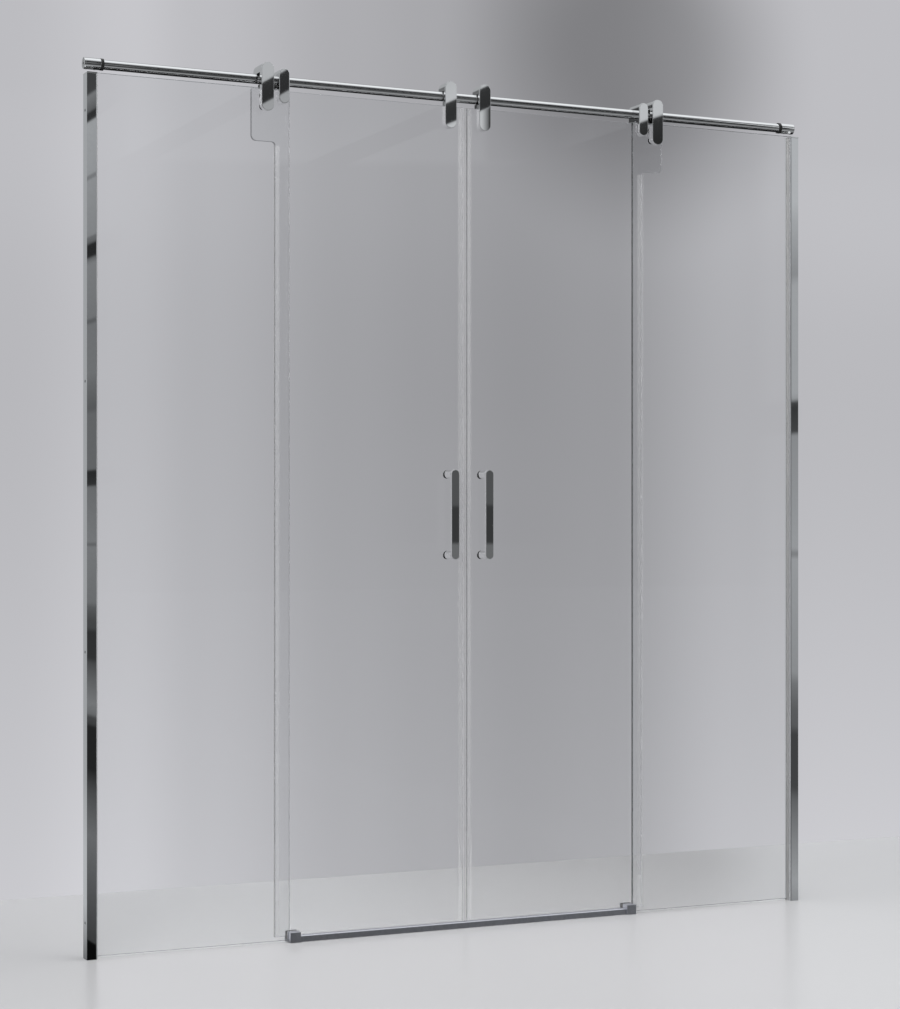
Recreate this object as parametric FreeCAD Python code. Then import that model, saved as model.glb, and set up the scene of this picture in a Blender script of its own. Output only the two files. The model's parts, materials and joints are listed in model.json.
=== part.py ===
import FreeCAD, Part
import math
import os

# Shower enclosure for a niche: two fixed panes and two sliding doors that meet
# in the middle and hang from one round rail. Millimetres, +Z up, +X to the
# viewer's right, +Y into the shower. The origin is the middle of the entrance,
# on the tray surface, in the middle plane of the fixed panes.
# Every side piece is shaped for the right-hand side and mirrored for the left.

# Overall
niche_width = 1865.0  # wall to wall
profile_height = 1950.0  # wall profiles, from the tray surface

# Glass
glass_thickness = 8.0
glass_arris = 0.6  # ground edges of the panes
pane_gap = 6.0  # clear air between a fixed pane and the door behind it
pane_reach = 480.0  # from the wall to a fixed pane's free edge
pane_wall_gap = 8.0  # from the wall to a fixed pane's hidden edge
pane_bottom = 5.0
door_bottom = 12.0
door_overlap = 31.5  # how far a door reaches behind its fixed pane
ear_width = 57.5  # lug at a door's top outer corner
ear_height = 119.0
ear_inner_radius = 8.0
ear_outer_radius = 12.0
glass_corner_radius = 4.0
glass_hole_radius = 7.0
glass_top_gap = 11.0  # from the panes' top edge to the rail's underside

# Wall profiles
profile_width = 23.0
profile_depth = 30.0
profile_wall = 2.0
profile_web = 2.5  # the wall that lies against the room's wall
profile_lip = 2.5
profile_slot = 13.0  # opening between the lips
wall_hole_radius = 3.25
wall_hole_margin = 80.0  # from each end to the nearest hole
wall_hole_count = 4
gasket_hook = 1.5  # how far a gasket grips behind its lip
gasket_tail = 4.0  # visible part beyond the profile
gasket_tip = 0.6
cap_thickness = 3.0
cap_overhang = 1.5
cap_leg_length = 8.0
cap_clearance = 0.3
profile_corner_radius = 2.0  # on the corners that face the room and the shower

# Bottom edge
setting_block_length = 20.0
setting_block_margin = 90.0  # from each end of the fixed pane
threshold_height = 15.0
threshold_front = 11.0  # in front of the fixed panes' middle plane
threshold_back = 7.0
threshold_wall = 1.5
threshold_chamfer = 2.0
guide_width = 26.0
guide_height = 24.0
guide_front = 16.0  # in front of the fixed panes' middle plane
guide_grip = 3.0  # how far a block reaches over the fixed pane's edge
guide_pocket_clearance = 0.3
guide_side_clearance = 0.7  # between a door and its guide insert
guide_insert_wall = 2.5
guide_wall = 4.5  # metal behind the insert
guide_floor = 5.0  # metal under the insert
guide_round = 1.2

# Rail
rail_radius = 11.0
rail_wall = 2.0
rail_rise = 27.0  # rail axis above the wall profiles
socket_radius = 13.0
socket_length = 38.0
socket_clearance = 0.15
plug_length = 10.0
plug_hole_radius = 2.75
plug_sink_radius = 5.5
rail_end_gap = 1.0  # between a plug and the rail's end
buffer_ring_length = 6.4
buffer_ring_radius = 13.2
grub_radius = 2.0
grub_proud = 0.3

# Fixed panes' rail clamps
clamp_width = 25.5
clamp_height = 80.0
clamp_rise = 23.0  # clamp's top above the rail axis
clamp_inset = 20.0  # clamp's middle from the fixed pane's free edge
clamp_gasket = 1.0
clamp_over_glass = 2.0  # gap between the clamp's bridge and the glass
clamp_rear_wall = 4.0
closing_gap = 0.35  # a closed door stops this short of its buffer
buffer_peg_radius = 4.0

# Door carriages
carriage_width = 30.0
carriage_height = 111.0
cover_front = 23.0  # outer covers and clamps, in front of the fixed panes' middle plane
centre_cover_front = 7.0
outer_cover_depth = 13.0
centre_cover_depth = 5.0
cover_round = 1.5
hood_wall = 2.5
hood_rail_gap = 0.8
hood_rear_wall = 5.5
hood_rear_gap = 1.5  # from the rail to the hood's rear wall
hanger_width = 16.0  # outer carriages: web, bridge under the rail and strap on the glass
hanger_pane_gap = 0.8  # between that strap and the fixed pane
bridge_pad_step = 2.2  # bridge's top below the pad's top
carriage_offset = 45.0  # centre carriages and handles from the middle
peg_radius = 1.5
peg_length = 2.5
pad_rail_gap = 0.8
pad_glass_gap = 2.0
pad_back = 7.0  # behind the rail axis
pad_peg_radius = 2.0
pad_peg_length = 3.0

# Wheels
wheel_groove_radius = 8.0
wheel_width = 18.0
wheel_flange_radius = 11.3
wheel_side_gap = 3.0  # between a wheel and the hood's front wall
rolling_gap = 0.3
race_radius = 6.5
race_width = 8.0
inner_race_radius = 4.5
running_clearance = 0.08
axle_radius = 3.0
axle_head_radius = 6.0
axle_head_length = 3.0
axle_in_cover = 3.5
slip_clearance = 0.05

# Glass fixings
screw_radius = 2.5
screw_head_radius = 5.0
screw_head_length = 2.4
screw_spacing = 25.0
screw_grip = 11.0  # length of a clamp screw inside its clamp
disc_radius = 10.0
carriage_disc_radius = 6.5  # threaded discs behind the door's glass
disc_thickness = 2.5
washer_thickness = 0.8
bush_clearance = 0.3
hex_size = 1.7
hex_depth = 1.4

# Seals
meeting_gap = 0.5  # between the two doors' seals when closed
meeting_nose = 5.5  # seal's nose beyond the glass edge
seal_wall = 1.2
seal_leg = 11.0
seal_edge_gap = 0.25
nose_wall = 1.3
wiper_gap = 0.3
wiper_thickness = 1.2

# Handles
handle_width = 20.0
handle_length = 212.0
handle_thickness = 6.0
handle_centre = 983.0
handle_standoff = 42.0  # door face to the bar's front
handle_round = 1.5
post_radius = 10.0
handle_screw_radius = 3.0
handle_screw_grip = 15.0
handle_screw_head = 3.0

# Places that follow from the sizes
half_width = niche_width / 2
half_glass = glass_thickness / 2
rail_height = profile_height + rail_rise
glass_top = rail_height - rail_radius - glass_top_gap
door_front = half_glass + pane_gap
door_back = door_front + glass_thickness
rail_depth = (door_front + door_back) / 2
door_reach = pane_reach - door_overlap
ear_reach = door_reach - ear_width
door_inner_edge = meeting_gap / 2 + meeting_nose
clamp_reach = pane_reach - clamp_inset
outer_carriage_reach = door_reach - ear_width / 2
centre_carriage_reach = half_width - carriage_offset
axle_height = rail_height + rail_radius + rolling_gap + wheel_groove_radius
carriage_top = axle_height + carriage_width / 2
carriage_bottom = carriage_top - carriage_height
lower_screw_height = carriage_bottom + carriage_width / 2
hood_bottom = rail_height + rail_radius + hood_rail_gap
chamber_front = rail_depth - wheel_width / 2 - wheel_side_gap
hood_rear_inner = rail_depth + rail_radius + hood_rear_gap
hood_rear = hood_rear_inner + hood_rear_wall
outer_strap_front = half_glass + hanger_pane_gap
outer_hood_front = outer_cover_depth - cover_front
centre_hood_front = centre_cover_depth - centre_cover_front
strap_back = door_front - washer_thickness
clamp_top = rail_height + clamp_rise
clamp_bottom = clamp_top - clamp_height
clamp_screw_height = clamp_bottom + clamp_width / 2
clamp_back = rail_depth + rail_radius + clamp_rear_wall
clamp_pane_face = -half_glass - clamp_gasket
stop_height = glass_top + pad_glass_gap
pad_top = rail_height - rail_radius - pad_rail_gap
pad_middle = (stop_height + pad_top - bridge_pad_step) / 2
peg_offset = carriage_width * 0.3
peg_height = (hood_bottom + axle_height) / 2
guide_outer_reach = pane_reach - guide_grip
guide_inner_reach = guide_outer_reach + guide_width
insert_half = half_glass + guide_side_clearance + guide_insert_wall
guide_back = rail_depth + insert_half + guide_wall
handle_bar_front = door_front - handle_standoff
handle_bar_back = handle_bar_front + handle_thickness
handle_post_offset = handle_length / 2 - handle_width / 2


def vector(x, y, z):
    return FreeCAD.Vector(x, y, z)


across = vector(1, 0, 0)
inward = vector(0, 1, 0)
outward = vector(0, -1, 0)
upward = vector(0, 0, 1)


def at_reach(reach):
    """X of a place on the right-hand side, given how far it is from the wall."""
    return half_width - reach


def block(x_low, x_high, y_low, y_high, z_low, z_high):
    corner = vector(x_low, y_low, z_low)
    return Part.makeBox(x_high - x_low, y_high - y_low, z_high - z_low, corner)


def rod(radius, start, direction, length):
    return Part.makeCylinder(radius, length, start, direction)


def ring(outer_radius, inner_radius, start, direction, length):
    return rod(outer_radius, start, direction, length).cut(rod(inner_radius, start, direction, length))


def prism(points, sweep):
    """Extrude a closed outline of straight sides."""
    return Part.Face(Part.makePolygon(points + [points[0]])).extrude(sweep)


def rounded_plate(corners, y_low, y_high):
    """Plate in the XZ plane. Each corner is (x, z, radius)."""
    places = [vector(x, y_low, z) for x, z, radius in corners]
    starts = []
    ends = []
    middles = []
    for index, (x, z, radius) in enumerate(corners):
        corner = places[index]
        back = (places[index - 1] - corner).normalize()
        ahead = (places[(index + 1) % len(places)] - corner).normalize()
        half_turn = back.getAngle(ahead) / 2
        setback = radius / math.tan(half_turn)
        bisector = (back + ahead).normalize()
        starts.append(corner + back * setback)
        ends.append(corner + ahead * setback)
        middles.append(corner + bisector * (radius / math.sin(half_turn) - radius))
    edges = []
    for index, (x, z, radius) in enumerate(corners):
        if radius > 0:
            edges.append(Part.Arc(starts[index], middles[index], ends[index]).toShape())
        edges.append(Part.LineSegment(ends[index], starts[(index + 1) % len(corners)]).toShape())
    return Part.Face(Part.Wire(edges)).extrude(vector(0, y_high - y_low, 0))


def stadium(x, width, z_low, z_high, y_low, y_high):
    """Upright plate with fully rounded top and bottom."""
    radius = width / 2
    middle = block(x - radius, x + radius, y_low, y_high, z_low + radius, z_high - radius)
    top = rod(radius, vector(x, y_low, z_high - radius), inward, y_high - y_low)
    bottom = rod(radius, vector(x, y_low, z_low + radius), inward, y_high - y_low)
    return middle.fuse([top, bottom]).removeSplitter()


def edges_in_plane(shape, y):
    """Edges that lie wholly in the plane at depth y."""
    box_of = [(edge, edge.BoundBox) for edge in shape.Edges]
    return [edge for edge, box in box_of if abs(box.YMin - y) < 0.01 and abs(box.YMax - y) < 0.01]


def upright_edges(shape, x):
    """Upright edges at that X."""
    box_of = [(edge, edge.BoundBox) for edge in shape.Edges]
    return [edge for edge, box in box_of if abs(box.XMax - x) < 0.01 and box.ZLength > 1]


def hex_socket(x, y, z, direction):
    """Six-sided recess for a key, cut along the depth axis."""
    corners = []
    for step in range(6):
        turn = math.radians(60 * step)
        corners.append(vector(x + hex_size * math.cos(turn), y, z + hex_size * math.sin(turn)))
    return prism(corners, direction * hex_depth)


def countersunk_screw(x, y, z, direction, length):
    """Flat-headed screw. Its head's face is at y, and it points along direction."""
    head_end = vector(x, y, z) + direction * screw_head_length
    head = Part.makeCone(screw_head_radius, screw_radius, screw_head_length, vector(x, y, z), direction)
    shank = rod(screw_radius, head_end, direction, length - screw_head_length)
    return head.fuse(shank).cut(hex_socket(x, y, z, direction))


def fixing_disc(x, y, z, direction):
    """Round cover disc with a countersunk hole. Its outer face is at y."""
    disc = rod(disc_radius, vector(x, y, z), direction, disc_thickness)
    wide = screw_head_radius + slip_clearance
    narrow = screw_radius + slip_clearance
    sink = Part.makeCone(wide, narrow, screw_head_length, vector(x, y, z), direction)
    return disc.cut([sink, rod(narrow, vector(x, y, z), direction, disc_thickness)])


def glass_bush(x, y, z, hole_radius, washer_radius):
    """Clear sleeve in a pane's hole and a washer on each face of the glass."""
    sleeve_radius = glass_hole_radius - bush_clearance
    sleeve = ring(sleeve_radius, hole_radius, vector(x, y, z), inward, glass_thickness)
    front = ring(washer_radius, hole_radius, vector(x, y - washer_thickness, z), inward, washer_thickness)
    back = ring(washer_radius, hole_radius, vector(x, y + glass_thickness, z), inward, washer_thickness)
    return [sleeve.fuse(front), back]


def glass_pane(corners, holes, y_low):
    """Toughened pane with ground edges and drilled holes at (x, z)."""
    y_high = y_low + glass_thickness
    pane = rounded_plate(corners, y_low, y_high)
    drills = [rod(glass_hole_radius, vector(x, y_low, z), inward, glass_thickness) for x, z in holes]
    pane = pane.cut(drills)
    ground = edges_in_plane(pane, y_low) + edges_in_plane(pane, y_high)
    return pane.makeChamfer(glass_arris, ground)


# Wall profile, gaskets and cap


def wall_profile():
    half_depth = profile_depth / 2
    lip_reach = profile_width - profile_lip
    x_low = at_reach(profile_width)
    body = block(x_low, half_width, -half_depth, half_depth, 0, profile_height)
    body = body.makeFillet(profile_corner_radius, upright_edges(body, x_low))
    inner_half = half_depth - profile_wall
    chamber_start = at_reach(lip_reach)
    chamber_end = at_reach(profile_web)
    chamber = block(chamber_start, chamber_end, -inner_half, inner_half, 0, profile_height)
    slot_half = profile_slot / 2
    slot = block(x_low, chamber_end, -slot_half, slot_half, 0, profile_height)
    spacing = (profile_height - 2 * wall_hole_margin) / (wall_hole_count - 1)
    holes = []
    for index in range(wall_hole_count):
        start = vector(chamber_end, 0, wall_hole_margin + index * spacing)
        holes.append(rod(wall_hole_radius, start, across, profile_web))
    return body.cut([chamber, slot] + holes)


def glazing_gaskets():
    """Front and rear wedge between the profile's lips and the fixed pane."""
    slot_half = profile_slot / 2
    lip_start = at_reach(profile_width)
    lip_end = at_reach(profile_width - profile_lip)
    hook = lip_end + gasket_hook
    tail = lip_start - gasket_tail
    strips = []
    for face in (-1, 1):
        outline = [
            vector(hook, face * half_glass, 0),
            vector(hook, face * (slot_half + gasket_hook / 2), 0),
            vector(lip_end, face * (slot_half + gasket_hook), 0),
            vector(lip_end, face * slot_half, 0),
            vector(lip_start, face * slot_half, 0),
            vector(tail, face * (half_glass + gasket_tip), 0),
            vector(tail, face * half_glass, 0),
        ]
        strips.append(prism(outline, upward * profile_height))
    return strips


def profile_cap():
    half_depth = profile_depth / 2
    z_high = profile_height + cap_thickness
    x_low = at_reach(profile_width + cap_overhang)
    reach = half_depth + cap_overhang
    plate = block(x_low, half_width, -reach, reach, profile_height, z_high)
    plate = plate.makeFillet(profile_corner_radius, upright_edges(plate, x_low))
    slot_end = at_reach(pane_wall_gap - cap_clearance)
    slot_half = half_glass + cap_clearance
    slot = block(x_low, slot_end, -slot_half, slot_half, profile_height, z_high)
    leg_low = slot_end + cap_clearance
    leg_high = at_reach(profile_web + cap_clearance)
    leg = block(leg_low, leg_high, -half_glass, half_glass, profile_height - cap_leg_length, profile_height)
    return plate.cut(slot).fuse(leg)


# Fixed pane and what it stands on


def fixed_glass():
    free_edge = at_reach(pane_reach)
    wall_edge = at_reach(pane_wall_gap)
    corners = [
        (free_edge, pane_bottom, 0),
        (wall_edge, pane_bottom, 0),
        (wall_edge, glass_top, 0),
        (free_edge, glass_top, glass_corner_radius),
    ]
    return glass_pane(corners, [(at_reach(clamp_reach), clamp_screw_height)], -half_glass)


def setting_block_starts():
    """Low X of the two blocks under a fixed pane."""
    near_wall = at_reach(profile_width + setting_block_margin + setting_block_length)
    near_door = at_reach(guide_outer_reach - setting_block_margin)
    return [near_door, near_wall]


def setting_blocks():
    blocks = []
    for start in setting_block_starts():
        blocks.append(block(start, start + setting_block_length, -half_glass, half_glass, 0, pane_bottom))
    return blocks


def pane_seals():
    """Clear bedding strip under a fixed pane, in three lengths between the blocks."""
    strips = []
    start = at_reach(guide_outer_reach)
    for stop in setting_block_starts():
        strips.append(block(start, stop, -half_glass, half_glass, 0, pane_bottom))
        start = stop + setting_block_length
    strips.append(block(start, at_reach(profile_width), -half_glass, half_glass, 0, pane_bottom))
    return strips


def guide_block():
    x_low = at_reach(guide_inner_reach)
    x_high = at_reach(guide_outer_reach)
    body = block(x_low, x_high, -guide_front, guide_back, 0, guide_height)
    boxes = [(edge, edge.BoundBox) for edge in body.Edges]
    rounded = [edge for edge, box in boxes if box.ZMax > guide_height - 0.01 or box.ZLength > 1]
    body = body.makeFillet(guide_round, rounded)
    pocket_half = half_glass + guide_pocket_clearance
    pocket_start = at_reach(pane_reach + guide_pocket_clearance)
    pocket = block(pocket_start, x_high, -pocket_half, pocket_half, 0, guide_height)
    slot = block(x_low, x_high, rail_depth - insert_half, rail_depth + insert_half, guide_floor, guide_height)
    return body.cut([pocket, slot])


def guide_insert():
    """Nylon channel that keeps the door's bottom edge in line."""
    x_low = at_reach(guide_inner_reach)
    x_high = at_reach(guide_outer_reach)
    body = block(x_low, x_high, rail_depth - insert_half, rail_depth + insert_half, guide_floor, guide_height)
    run_half = half_glass + guide_side_clearance
    floor = guide_floor + guide_insert_wall
    run = block(x_low, x_high, rail_depth - run_half, rail_depth + run_half, floor, guide_height)
    return body.cut(run)


def threshold_bar():
    """Hollow bar on the tray between the two guide blocks."""
    x_low = -at_reach(guide_inner_reach)
    sweep = across * (-2 * x_low)
    shoulder = threshold_height - threshold_chamfer
    outline = [
        vector(x_low, -threshold_front, 0),
        vector(x_low, threshold_back, 0),
        vector(x_low, threshold_back, shoulder),
        vector(x_low, threshold_back - threshold_chamfer, threshold_height),
        vector(x_low, -threshold_front + threshold_chamfer, threshold_height),
        vector(x_low, -threshold_front, shoulder),
    ]
    hollow_front = -threshold_front + threshold_wall
    hollow_back = threshold_back - threshold_wall
    hollow_top = shoulder - threshold_wall / 2
    hollow = block(x_low, -x_low, hollow_front, hollow_back, threshold_wall, hollow_top)
    return prism(outline, sweep).cut(hollow)


# Rail, its wall sockets and its stops


def rail_tube():
    reach = plug_length + rail_end_gap
    length = niche_width - 2 * reach
    start = vector(-at_reach(reach), rail_depth, rail_height)
    return ring(rail_radius, rail_radius - rail_wall, start, across, length)


def rail_socket():
    start = vector(at_reach(socket_length), rail_depth, rail_height)
    sleeve = ring(socket_radius, rail_radius + socket_clearance, start, across, socket_length)
    for reach in grub_reaches():
        sleeve = sleeve.cut(socket_grub(reach))
    return sleeve


def grub_reaches():
    """Distances from the wall of the socket's two grub screws."""
    return [plug_length / 2, (plug_length + rail_end_gap + socket_length) / 2]


def socket_grub(reach):
    """Grub screw in the underside of a socket."""
    bottom = rail_height - socket_radius - grub_proud
    length = socket_radius - rail_radius + grub_proud - socket_clearance
    return rod(grub_radius, vector(at_reach(reach), rail_depth, bottom), upward, length)


def rail_plug():
    """Wall stub that fills the socket's end, with a countersunk screw hole."""
    start = vector(at_reach(plug_length), rail_depth, rail_height)
    body = rod(rail_radius, start, across, plug_length)
    hole = rod(plug_hole_radius, start, across, plug_length)
    sink_depth = plug_sink_radius - plug_hole_radius
    sink = Part.makeCone(plug_sink_radius, plug_hole_radius, sink_depth, start, across)
    return body.cut([hole, sink])


def rail_buffer():
    """Rubber ring at the socket's mouth that stops an opening door."""
    start = vector(at_reach(socket_length + buffer_ring_length), rail_depth, rail_height)
    return ring(buffer_ring_radius, rail_radius + socket_clearance, start, across, buffer_ring_length)


def closing_buffer():
    """Rubber peg on the clamp's outer face that stops a closing door."""
    clamp_face = at_reach(clamp_reach) + clamp_width / 2
    carriage_face = at_reach(outer_carriage_reach) - carriage_width / 2
    middle = (stop_height + rail_height - rail_radius) / 2
    start = vector(clamp_face, rail_depth, middle)
    return rod(buffer_peg_radius, start, across, carriage_face - closing_gap - clamp_face)


def clamp_grub():
    start = vector(at_reach(clamp_reach), rail_depth + rail_radius + socket_clearance, rail_height)
    return rod(grub_radius, start, inward, clamp_rear_wall - socket_clearance + grub_proud)


def fixed_clamp():
    """Bracket that is bolted to the fixed pane and holds the rail."""
    x = at_reach(clamp_reach)
    half = clamp_width / 2
    whole = stadium(x, clamp_width, clamp_bottom, clamp_top, -cover_front, clamp_back)
    under = block(x - half, x + half, clamp_pane_face, clamp_back, clamp_bottom, glass_top + clamp_over_glass)
    body = whole.cut(under)
    body = body.makeFillet(cover_round, edges_in_plane(body, -cover_front))
    start = vector(x - half, rail_depth, rail_height)
    bore = rod(rail_radius + socket_clearance, start, across, clamp_width)
    seat = vector(x, clamp_pane_face, clamp_screw_height)
    thread = rod(screw_radius + slip_clearance, seat, outward, screw_grip)
    return body.cut([bore, thread, clamp_grub()])


def clamp_bushes():
    """Gasket in front of the fixed pane, sleeve in its hole and washer behind it."""
    x = at_reach(clamp_reach)
    half = clamp_width / 2
    sheet = stadium(x, clamp_width, clamp_bottom, clamp_top, clamp_pane_face, -half_glass)
    sheet = sheet.cut(block(x - half, x + half, clamp_pane_face, -half_glass, glass_top, clamp_top))
    hole_radius = screw_radius + slip_clearance
    place = vector(x, -half_glass, clamp_screw_height)
    sheet = sheet.cut(rod(hole_radius, place, outward, clamp_gasket))
    sleeve = ring(glass_hole_radius - bush_clearance, hole_radius, place, inward, glass_thickness)
    behind = vector(x, half_glass, clamp_screw_height)
    washer = ring(disc_radius, hole_radius, behind, inward, washer_thickness)
    return [sheet.fuse(sleeve), washer]


def clamp_disc_face():
    return half_glass + washer_thickness + disc_thickness


def clamp_disc():
    return fixing_disc(at_reach(clamp_reach), clamp_disc_face(), clamp_screw_height, outward)


def clamp_screw():
    length = clamp_disc_face() - clamp_pane_face + screw_grip - slip_clearance
    return countersunk_screw(at_reach(clamp_reach), clamp_disc_face(), clamp_screw_height, outward, length)


# Sliding door

outer_carriage = {
    "x": at_reach(outer_carriage_reach),
    "cover_front": -cover_front,
    "hood_front": outer_hood_front,
    "strap_front": outer_strap_front,
    "hanger_width": hanger_width,
}
centre_carriage = {
    "x": at_reach(centre_carriage_reach),
    "cover_front": -centre_cover_front,
    "hood_front": centre_hood_front,
    "strap_front": centre_hood_front,
    "hanger_width": carriage_width,
}
carriages = [outer_carriage, centre_carriage]


def carriage_screw_heights():
    return [lower_screw_height, lower_screw_height + screw_spacing]


def handle_screw_heights():
    return [handle_centre - handle_post_offset, handle_centre + handle_post_offset]


def door_glass():
    outer_edge = at_reach(door_reach)
    ear_edge = at_reach(ear_reach)
    ear_bottom = glass_top - ear_height
    corners = [
        (door_inner_edge, door_bottom, 0),
        (outer_edge, door_bottom, 0),
        (outer_edge, ear_bottom, ear_inner_radius),
        (ear_edge, ear_bottom, ear_outer_radius),
        (ear_edge, glass_top, glass_corner_radius),
        (door_inner_edge, glass_top, 0),
    ]
    holes = [(carriage["x"], z) for carriage in carriages for z in carriage_screw_heights()]
    holes += [(at_reach(centre_carriage_reach), z) for z in handle_screw_heights()]
    return glass_pane(corners, holes, door_front)


def meeting_seal():
    """Clear channel on the door's inner edge, with a hollow nose."""
    height = upward * (glass_top - door_bottom)
    nose = meeting_gap / 2
    web_inner = door_inner_edge - seal_edge_gap
    end = door_inner_edge + seal_leg
    front = door_front - seal_wall
    back = door_back + seal_wall
    outline = [
        vector(nose, front + seal_wall, door_bottom),
        vector(nose + seal_wall, front, door_bottom),
        vector(end, front, door_bottom),
        vector(end, door_front, door_bottom),
        vector(web_inner, door_front, door_bottom),
        vector(web_inner, door_back, door_bottom),
        vector(end, door_back, door_bottom),
        vector(end, back, door_bottom),
        vector(nose + seal_wall, back, door_bottom),
        vector(nose, back - seal_wall, door_bottom),
    ]
    hollow_end = web_inner - nose_wall
    hollow_low = front + nose_wall + seal_wall / 2
    hollow_high = back - nose_wall - seal_wall / 2
    hollow = block(nose + nose_wall, hollow_end, hollow_low, hollow_high, door_bottom, glass_top)
    return prism(outline, height).cut(hollow)


def edge_seal():
    """Clear channel on the door's outer edge, with a wiper towards the fixed pane."""
    top = glass_top - ear_height - ear_inner_radius
    edge = at_reach(door_reach)
    outer = edge + seal_edge_gap + seal_wall
    end = edge - seal_leg
    front = door_front - seal_wall
    back = door_back + seal_wall
    wiper = half_glass + wiper_gap
    outline = [
        vector(outer, wiper, door_bottom),
        vector(outer, back, door_bottom),
        vector(end, back, door_bottom),
        vector(end, door_back, door_bottom),
        vector(edge + seal_edge_gap, door_back, door_bottom),
        vector(edge + seal_edge_gap, door_front, door_bottom),
        vector(end, door_front, door_bottom),
        vector(end, front, door_bottom),
        vector(outer - wiper_thickness, front, door_bottom),
        vector(outer - wiper_thickness, wiper, door_bottom),
    ]
    return prism(outline, upward * (top - door_bottom))


def carriage_hood(x, hood_front):
    """Hollow cap over the wheel, open towards the rail."""
    half = carriage_width / 2
    whole = stadium(x, carriage_width, carriage_bottom, carriage_top, hood_front, hood_rear)
    below = block(x - half, x + half, hood_front, hood_rear, carriage_bottom, hood_bottom)
    chamber_radius = half - hood_wall
    chamber_depth = hood_rear_inner - chamber_front
    arch = rod(chamber_radius, vector(x, chamber_front, axle_height), inward, chamber_depth)
    x_low = x - chamber_radius
    chamber = block(x_low, x + chamber_radius, chamber_front, hood_rear_inner, hood_bottom, axle_height)
    return whole.cut([below, arch, chamber])


def hanger(carriage):
    """Web in front of the rail, bridge under it and strap down the glass, as one forging."""
    x = carriage["x"]
    front = carriage["hood_front"]
    strap_front = carriage["strap_front"]
    half = carriage["hanger_width"] / 2
    bridge_top = pad_top - bridge_pad_step
    web = block(x - half, x + half, front, chamber_front, stop_height, hood_bottom)
    bridge = block(x - half, x + half, front, strap_back, stop_height, bridge_top)
    strap = block(x - half, x + half, strap_front, strap_back, lower_screw_height, bridge_top)
    foot = rod(half, vector(x, strap_front, lower_screw_height), inward, strap_back - strap_front)
    return web.fuse([bridge, strap, foot])


def carriage_body(carriage):
    """Hood over the rail and the hanger that carries the door's glass."""
    x = carriage["x"]
    front = carriage["hood_front"]
    strap_front = carriage["strap_front"]
    body = carriage_hood(x, front).fuse(hanger(carriage)).removeSplitter()
    wide = screw_head_radius + slip_clearance
    narrow = screw_radius + slip_clearance
    for z in carriage_screw_heights():
        place = vector(x, strap_front, z)
        sink = Part.makeCone(wide, narrow, screw_head_length, place, inward)
        body = body.cut([sink, rod(narrow, place, inward, strap_back - strap_front)])
    for turn in (-1, 1):
        peg_place = vector(x + turn * peg_offset, front, peg_height)
        body = body.fuse(rod(peg_radius, peg_place, outward, peg_length))
    axle_hole = rod(axle_radius + slip_clearance, vector(x, front, axle_height), inward, hood_rear - front)
    pad_place = vector(x, strap_back, pad_middle)
    pad_hole = rod(pad_peg_radius + slip_clearance, pad_place, outward, pad_peg_length + slip_clearance)
    return body.cut([axle_hole, pad_hole])


def carriage_cover(carriage):
    """Plate in front of the hood. The carriage's axle and pegs hold it."""
    x = carriage["x"]
    front = carriage["cover_front"]
    back = carriage["hood_front"]
    plate = stadium(x, carriage_width, carriage_bottom, carriage_top, front, back)
    plate = plate.makeFillet(cover_round, edges_in_plane(plate, front))
    holes = [rod(axle_radius + slip_clearance, vector(x, back, axle_height), outward, axle_in_cover)]
    for turn in (-1, 1):
        peg_place = vector(x + turn * peg_offset, back, peg_height)
        holes.append(rod(peg_radius + slip_clearance, peg_place, outward, peg_length + slip_clearance))
    return plate.cut(holes)


def anti_lift_pad(x):
    """Nylon block under the rail that keeps the wheel from jumping off."""
    x_low = x - carriage_width / 2
    x_high = x + hanger_width / 2
    body = block(x_low, x_high, strap_back, rail_depth + pad_back, stop_height, pad_top)
    return body.fuse(rod(pad_peg_radius, vector(x, strap_back, pad_middle), outward, pad_peg_length))


def carriage_axle(carriage):
    """Axle screw, its two spacers and the inner race between them."""
    x = carriage["x"]
    front = carriage["hood_front"]
    tip = front - axle_in_cover + slip_clearance
    shank = rod(axle_radius, vector(x, tip, axle_height), inward, hood_rear - tip)
    head = rod(axle_head_radius, vector(x, hood_rear, axle_height), inward, axle_head_length)
    head_face = hood_rear + axle_head_length
    screw = shank.fuse(head).cut(hex_socket(x, head_face, axle_height, outward))
    race_start = rail_depth - race_width / 2
    race_end = rail_depth + race_width / 2
    pieces = [screw]
    for start, end in ((chamber_front, race_start), (race_start, race_end), (race_end, hood_rear_inner)):
        place = vector(x, start, axle_height)
        pieces.append(ring(inner_race_radius, axle_radius + slip_clearance, place, inward, end - start))
    return pieces


def wheel_race(x):
    """Outer race of the wheel's bearing."""
    place = vector(x, rail_depth - race_width / 2, axle_height)
    inner = inner_race_radius + running_clearance
    return ring(race_radius - slip_clearance, inner, place, inward, race_width)


def wheel_tyre(x):
    """Grooved nylon tyre that rolls on the rail."""
    place = vector(x, rail_depth - wheel_width / 2, axle_height)
    body = ring(wheel_flange_radius, race_radius, place, inward, wheel_width)
    groove_section = rail_radius + rolling_gap
    centre = vector(x, rail_depth, axle_height)
    groove = Part.makeTorus(wheel_groove_radius + groove_section, groove_section, centre, inward)
    return body.cut(groove)


def carriage_discs(x):
    """Threaded discs behind the glass that take the hanger's screws."""
    start = door_back + washer_thickness
    hole_radius = screw_radius + slip_clearance
    return [ring(carriage_disc_radius, hole_radius, vector(x, start, z), inward, disc_thickness)
            for z in carriage_screw_heights()]


def carriage_screws(carriage):
    seat = carriage["strap_front"]
    length = door_back + washer_thickness + disc_thickness - seat
    return [countersunk_screw(carriage["x"], seat, z, inward, length) for z in carriage_screw_heights()]


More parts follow.
